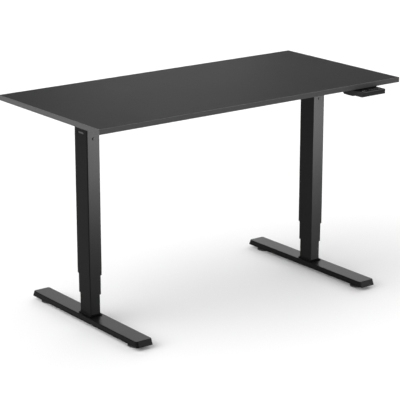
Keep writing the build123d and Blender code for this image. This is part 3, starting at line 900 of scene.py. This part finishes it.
@dataclass
class Feet(SubAssembly):
    """Levelling glides with ribbed bases and threaded studs, and the welds above them."""

    rib_count: int = 16
    rib_height: float = 1.2 * MM
    rib_end_height: float = 0.4 * MM
    rib_half_width: float = 0.6 * MM
    rib_crown: float = 0.6
    rib_inner_base: float = 8.0 * MM
    rib_outer_base: float = 7.0 * MM
    rib_neck_gap: float = 2.5 * MM
    rib_rim_gap: float = 5.0 * MM
    turned_steps: int = 96
    neck_radius: float = 8.0 * MM
    neck_top: float = 17.0 * MM
    stud_radius: float = 4.0 * MM
    thread_pitch: float = 1.25 * MM
    thread_depth: float = 0.6 * MM
    thread_lead_in: float = 1.5 * MM
    thread_turn_steps: int = 24
    thread_pitch_steps: int = 6

    def glide(self, node: str) -> None:
        """Build one glide in place of its plain CAD solid.

        Args:
            node: the glide's CAD node, which is also its body.
        """
        low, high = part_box(node)
        centre = Vector(((low.x + high.x) / 2, (low.y + high.y) / 2, low.z))
        radius = (high.x - low.x) / 2
        bm = bmesh.new()
        foot_outline = (
            (radius - 6.0 * MM, 0.6 * MM),
            (radius - 5.0 * MM, 0.0),
            (radius - 1.4 * MM, 0.0),
            (radius - 0.4 * MM, 0.4 * MM),
            (radius, 1.4 * MM),
            (radius, 4.6 * MM),
            (radius - 0.5 * MM, 5.6 * MM),
            (radius - 4.4 * MM, 7.6 * MM),
            (self.neck_radius + 6.0 * MM, 8.2 * MM),
            (self.neck_radius + 2.0 * MM, 9.0 * MM),
            (self.neck_radius, 10.6 * MM),
            (self.neck_radius, self.neck_top - 0.6 * MM),
            (self.neck_radius - 0.6 * MM, self.neck_top),
            (self.stud_radius, self.neck_top),
        )
        lathe(bm, centre, foot_outline, self.turned_steps)
        inner = self.neck_radius + self.rib_neck_gap
        outer = radius - self.rib_rim_gap
        for i in range(self.rib_count):
            self.rib(bm, centre, 2 * math.pi * i / self.rib_count, inner, outer)
        self.add(mesh_piece(f"{node}_base", bm), node, NYLON, "glide_nylon", replaces=(node,))
        bm = bmesh.new()
        self.thread(bm, centre + Vector((0, 0, self.neck_top)), high.z - low.z - self.neck_top)
        self.add(mesh_piece(f"{node}_stud", bm, SHARP_THREAD), node, ZINC, "zinc_plated_steel")

    def rib(
        self, bm: bmesh.types.BMesh, centre: Vector, angle: float, inner: float, outer: float
    ) -> None:
        """Raise one stiffening rib on the glide's upper face.

        Args:
            bm: the glide's bmesh.
            centre: the centre of its underside.
            angle: the rib's direction.
            inner: radius where it starts.
            outer: radius where it ends.
        """
        along = Vector((math.cos(angle), math.sin(angle), 0))
        across = Vector((-along.y, along.x, 0)) * self.rib_half_width
        ends = (
            (inner, self.rib_inner_base, self.rib_height),
            (outer, self.rib_outer_base, self.rib_end_height),
        )
        rings = []
        for reach, base, rise in ends:
            point = centre + along * reach
            rings.append(
                [
                    point - across + Vector((0, 0, base)),
                    point + across + Vector((0, 0, base)),
                    point + across * self.rib_crown + Vector((0, 0, base + rise)),
                    point - across * self.rib_crown + Vector((0, 0, base + rise)),
                ]
            )
        closed_loft(bm, rings)

    def thread(self, bm: bmesh.types.BMesh, start: Vector, length: float) -> None:
        """Cut a real helical thread on an upright stud.

        Args:
            bm: the bmesh to add to.
            start: the bottom of the stud, on its axis.
            length: the stud's length.
        """
        steps = math.ceil(length / self.thread_pitch * self.thread_pitch_steps)
        rings = []
        for i in range(steps + 1):
            z = length * i / steps
            ring = []
            for j in range(self.thread_turn_steps):
                turn = j / self.thread_turn_steps
                phase = (z / self.thread_pitch - turn) % 1.0
                crest = abs(2.0 * phase - 1.0)
                taper = min(1.0, (length - z) / self.thread_lead_in * 0.5 + 0.5)
                r = (self.stud_radius - self.thread_depth * crest) * taper
                angle = 2 * math.pi * turn
                ring.append(start + Vector((r * math.cos(angle), r * math.sin(angle), z)))
            rings.append(ring)
        closed_loft(bm, rings)

    def build(self) -> None:
        """Build the four glides and the welds at the columns' feet."""
        weld = Weld(self.frame, self.paints)
        plate_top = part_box("base_plates")[1].z
        for side in ("left", "right"):
            for end in ("front", "rear"):
                self.glide(f"{side}_{end}_glide")
            weld.run(f"{side}_foot_weld", f"{side}_inner_tube", plate_top, True, "base")


@dataclass
class UnderFrame(SubAssembly):
    """The welds under the column heads."""

    def build(self) -> None:
        """Lay the welds that join the outer tubes to their heads."""
        weld = Weld(self.frame, self.paints)
        for side in ("left", "right"):
            head_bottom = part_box(f"{side}_column_head")[0].z
            weld.run(f"{side}_head_weld", f"{side}_outer_tube", head_bottom, False, "top_frame")


@dataclass
class ControlBox(SubAssembly):
    """The louvres moulded on the control box's underside.

    The profile lists, from the shell down, how far a louvre's outline is drawn in and what
    share of its height it has reached.
    """

    louvre_count: int = 14
    louvre_pitch: float = 5.0 * MM
    louvre_length: float = 46.0 * MM
    louvre_width: float = 2.4 * MM
    louvre_height: float = 0.9 * MM
    profile: tuple[tuple[float, float], ...] = ((0.0, 0.0), (0.1 * MM, 0.5), (0.6 * MM, 1.0))
    flat_end: float = 0.01 * MM
    step: float = 4.0 * MM

    def build(self) -> None:
        """Raise a row of rounded louvres across the underside."""
        low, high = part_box("control_box_shell")
        middle_y = (low.y + high.y) / 2
        first = (low.x + high.x) / 2 - self.louvre_pitch * (self.louvre_count - 1) / 2
        bm = bmesh.new()
        for i in range(self.louvre_count):
            centre = Vector((first + i * self.louvre_pitch, middle_y))
            rings = []
            for inset, share in self.profile:
                width = self.louvre_width - 2 * inset
                length = self.louvre_length - 2 * inset
                bottom = low.z - share * self.louvre_height
                outline = rounded_rectangle(width, length, width / 2 - self.flat_end, self.step)
                rings.append([Vector((centre.x + p.x, centre.y + p.y, bottom)) for p, _ in outline])
            closed_loft(bm, rings)
        self.add(mesh_piece("control_box_louvres", bm), "top_frame", MOULDED_ABS, "moulded_abs")


@dataclass
class Handset(SubAssembly):
    """The printed signs on the keys and the digits of the display."""

    ink: float = 0.04 * MM
    arrow_width: float = 5.2 * MM
    arrow_height: float = 3.4 * MM
    figure_width: float = 2.6 * MM
    figure_height: float = 4.6 * MM
    figure_bar: float = 0.7 * MM
    digit_height: float = 8.0 * MM
    digit_width: float = 4.4 * MM
    digit_pitch: float = 6.6 * MM
    segment_width: float = 0.9 * MM
    bar_gap: float = 0.15
    reading: str = "831"

    def top_centre(self, node: str) -> Vector:
        """The middle of a node's upper face.

        Args:
            node: a key or the display window.

        Returns:
            The point, in the row frame.
        """
        low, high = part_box(node)
        return Vector(((low.x + high.x) / 2, (low.y + high.y) / 2, high.z))

    def slab(
        self, bm: bmesh.types.BMesh, centre: Vector, outline: Sequence[tuple[float, float]]
    ) -> None:
        """Raise a thin flat shape off the control face.

        Args:
            bm: the bmesh to add to.
            centre: its origin on the surface.
            outline: points to the right and away from the user.
        """
        flat = [centre + Vector((u, v, 0.0)) for u, v in outline]
        closed_loft(bm, [flat, [p + Vector((0.0, 0.0, self.ink)) for p in flat]])

    def arrow(self, node: str, upwards: bool) -> None:
        """Print a plain triangular arrow on a key.

        Args:
            node: the key.
            upwards: which way it points.
        """
        rise = self.arrow_height / 2 * (1 if upwards else -1)
        half = self.arrow_width / 2
        bm = bmesh.new()
        self.slab(bm, self.top_centre(node), ((-half, -rise), (half, -rise), (0.0, rise)))
        self.add(mesh_piece(f"{node}_arrow", bm), node, PRINT_INK, "key_abs")

    def bars(
        self,
        bm: bmesh.types.BMesh,
        centre: Vector,
        digit: str,
        width: float,
        height: float,
        bar: float,
    ) -> None:
        """Draw one figure from straight bars, as on a digital readout.

        Args:
            bm: the bmesh to add to.
            centre: the figure's middle.
            digit: which figure.
            width: its width.
            height: its height.
            bar: how thick each bar is.
        """
        lit = {"1": "bc", "2": "abged", "3": "abgcd", "8": "abcdefg"}[digit]
        w, h, gap = width / 2, height / 2, bar * self.bar_gap
        lines = {
            "a": ((-w, h), (w, h)),
            "b": ((w, h), (w, 0)),
            "c": ((w, 0), (w, -h)),
            "d": ((-w, -h), (w, -h)),
            "e": ((-w, 0), (-w, -h)),
            "f": ((-w, h), (-w, 0)),
            "g": ((-w, 0), (w, 0)),
        }
        for name in lit:
            (u0, v0), (u1, v1) = lines[name]
            along = Vector((u1 - u0, v1 - v0)).normalized()
            side = Vector((-along.y, along.x)) * bar / 2
            start = Vector((u0, v0)) + along * gap
            end = Vector((u1, v1)) - along * gap
            tip = along * bar / 2
            outline = [
                start,
                start + tip + side,
                end - tip + side,
                end,
                end - tip - side,
                start + tip - side,
            ]
            self.slab(bm, centre, [(p.x, p.y) for p in outline])

    def figure(self, node: str, digit: str) -> None:
        """Print a number on a preset key.

        Args:
            node: the key.
            digit: the number.
        """
        bm = bmesh.new()
        self.bars(
            bm,
            self.top_centre(node),
            digit,
            self.figure_width,
            self.figure_height,
            self.figure_bar,
        )
        self.add(mesh_piece(f"{node}_figure", bm), node, PRINT_INK, "key_abs")

    def display(self) -> None:
        """Light the three digits of the height reading."""
        centre = self.top_centre("display_window")
        middle = (len(self.reading) - 1) / 2
        bm = bmesh.new()
        for index, digit in enumerate(self.reading):
            place = centre + Vector((self.digit_pitch * (index - middle), 0.0, 0.0))
            self.bars(bm, place, digit, self.digit_width, self.digit_height, self.segment_width)
        self.add(mesh_piece("display_digits", bm), "top_frame", SEGMENTS, "smoked_acrylic")

    def build(self) -> None:
        """Print the keys and light the display."""
        self.arrow("up_button", True)
        self.arrow("down_button", False)
        for number, digit in (("one", "1"), ("two", "2"), ("three", "3")):
            self.figure(f"preset_{number}_button", digit)
        self.display()


# ---- studio --------------------------------------------------------------
def facing(azimuth: float, elevation: float) -> Vector:
    """A direction from its compass bearing, clockwise from +Y, and its height in degrees."""
    a, e = math.radians(azimuth), math.radians(elevation)
    return Vector((math.sin(a) * math.cos(e), math.cos(a) * math.cos(e), math.sin(e)))


@dataclass(frozen=True)
class Glow:
    """A broad soft patch of the studio's surround.

    Tightness 1 spreads over half the surround, and 10 over about a tenth of it.
    """

    azimuth: float
    elevation: float
    strength: float
    tightness: float


COLUMN_NODES = ("frame_bolts",) + tuple(
    f"{side}_{stage}_tube" for side in ("left", "right") for stage in ("outer", "middle", "inner")
)


@dataclass(frozen=True)
class Softbox:
    """A rectangular light aimed from a place at a target, with flags that keep it off the rest."""

    name: str
    place: tuple[float, float, float]
    target: tuple[float, float, float]
    width: float
    height: float
    power: float
    lit: tuple[str, ...]

    def build(self, frame: dict) -> None:
        """Hang the light.

        Args:
            frame: the loaded frame, whose nodes it lights.
        """
        light = bpy.data.lights.new(self.name, "AREA")
        light.shape = "RECTANGLE"
        light.size = self.width
        light.size_y = self.height
        light.energy = self.power
        lamp = bpy.data.objects.new(self.name, light)
        lamp.location = self.place
        lamp.rotation_mode = "QUATERNION"
        away = Vector(self.place) - Vector(self.target)
        lamp.rotation_quaternion = away.to_track_quat("Z", "Y")
        bpy.context.scene.collection.objects.link(lamp)
        receivers = bpy.data.collections.new(self.name)
        for node in self.lit:
            receivers.objects.link(frame["nodes"][node])
        lamp.light_linking.receiver_collection = receivers
        LOG.info("%s lights %s", self.name, ", ".join(self.lit))


@dataclass
class Studio:
    """A pale floor, a soft surround, softboxes for columns, feet and desktop, and the camera."""

    frame: dict
    floor_half: float = 60.0
    floor_colour: str = "f4f4f4"
    floor_roughness: float = 0.9
    floor_specular: float = 0.1
    light_colour: str = "ffffff"
    surround: float = 0.22
    horizon: float = 0.7
    horizon_height: float = 0.2
    glows: tuple[Glow, ...] = (
        Glow(azimuth=0.0, elevation=90.0, strength=0.46, tightness=1.5),
        Glow(azimuth=38.0, elevation=15.0, strength=2.8, tightness=22.0),
        Glow(azimuth=-85.0, elevation=25.0, strength=4.2, tightness=6.0),
        Glow(azimuth=80.0, elevation=25.0, strength=1.2, tightness=8.0),
    )
    softboxes: tuple[Softbox, ...] = (
        Softbox(
            name="low_front_strip",
            place=(0.8, -1.2, 0.39),
            target=(0.8, 0.0, 0.39),
            width=1.75,
            height=0.56,
            power=146.0,
            lit=COLUMN_NODES,
        ),
        Softbox(
            name="low_front_foot_strip",
            place=(0.8, -1.2, 0.52),
            target=(0.8, 0.0, 0.52),
            width=1.75,
            height=0.26,
            power=24.0,
            lit=("left_foot", "right_foot"),
        ),
        Softbox(
            name="back_top_softbox",
            place=(0.62, 1.15, 1.25),
            target=(-0.25, 0.0, 0.83),
            width=0.9,
            height=0.35,
            power=4.5,
            lit=("desktop_panel",),
        ),
    )
    camera_place: tuple[float, float, float] = (-3.725, -4.886, 2.193)
    camera_yaw: float = 37.09
    camera_pitch: float = 16.41
    lens_mm: float = 149.3

    def floor(self) -> None:
        """Lay a matt pale floor at height zero."""
        bm = bmesh.new()
        bmesh.ops.create_grid(bm, x_segments=1, y_segments=1, size=self.floor_half)
        floor = mesh_piece("floor", bm)
        material = bpy.data.materials.new("studio_floor_matt")
        material.use_nodes = True
        shader = material.node_tree.nodes["Principled BSDF"]
        shader.inputs["Base Color"].default_value = linear(self.floor_colour)
        shader.inputs["Roughness"].default_value = self.floor_roughness
        shader.inputs["Specular IOR Level"].default_value = self.floor_specular
        floor.data.materials.append(material)

    def lights(self) -> None:
        """Light the surround, pale at the horizon and in soft patches, and hang the softboxes."""
        world = bpy.data.worlds.new("studio")
        bpy.context.scene.world = world
        world.use_nodes = True
        tree = world.node_tree
        tree.nodes.clear()
        towards = add_node(tree, "ShaderNodeTexCoord").outputs["Generated"]
        height = add_node(tree, "ShaderNodeSeparateXYZ", links={"Vector": towards}).outputs["Z"]
        total = add_node(
            tree,
            "ShaderNodeMapRange",
            settings={"interpolation_type": "SMOOTHSTEP"},
            values={
                "From Max": self.horizon_height,
                "To Min": self.surround + self.horizon,
                "To Max": self.surround,
            },
            links={"Value": height},
        ).outputs["Result"]
        for glow in self.glows:
            nearness = add_node(
                tree,
                "ShaderNodeVectorMath",
                settings={"operation": "DOT_PRODUCT"},
                values={1: facing(glow.azimuth, glow.elevation)},
                links={0: towards},
            ).outputs["Value"]
            fade = add_node(
                tree,
                "ShaderNodeMath",
                settings={"operation": "MULTIPLY_ADD"},
                values={1: glow.tightness, 2: -glow.tightness},
                links={0: nearness},
            ).outputs["Value"]
            patch = add_node(
                tree, "ShaderNodeMath", settings={"operation": "EXPONENT"}, links={0: fade}
            ).outputs["Value"]
            total = add_node(
                tree,
                "ShaderNodeMath",
                settings={"operation": "MULTIPLY_ADD"},
                values={1: glow.strength},
                links={0: patch, 2: total},
            ).outputs["Value"]
        light = add_node(
            tree,
            "ShaderNodeBackground",
            values={"Color": linear(self.light_colour)},
            links={"Strength": total},
        )
        add_node(tree, "ShaderNodeOutputWorld", links={"Surface": light.outputs["Background"]})
        for softbox in self.softboxes:
            softbox.build(self.frame)

    def camera(self) -> None:
        """Set the camera at its viewing place, level and with no shift."""
        lens = bpy.data.cameras.new("camera")
        lens.lens = self.lens_mm
        lens.clip_end = 200.0
        view = bpy.data.objects.new("camera", lens)
        view.location = self.camera_place
        view.rotation_euler = (
            math.radians(90.0 - self.camera_pitch),
            0.0,
            math.radians(-self.camera_yaw),
        )
        bpy.context.scene.collection.objects.link(view)
        bpy.context.scene.camera = view

    def build(self) -> None:
        """Set up the whole studio."""
        bpy.context.scene.view_settings.view_transform = "Standard"
        self.floor()
        self.lights()
        self.camera()


def main() -> None:
    """Build the desk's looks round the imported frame."""
    logging.basicConfig(level=logging.INFO, format="%(name)s: %(message)s")
    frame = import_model()
    paints = Paintbox()
    CarriedNodes(frame, paints).build()
    Feet(frame, paints).build()
    UnderFrame(frame, paints).build()
    ControlBox(frame, paints).build()
    Handset(frame, paints).build()
    Studio(frame).build()


if __name__ == "__main__":
    main()
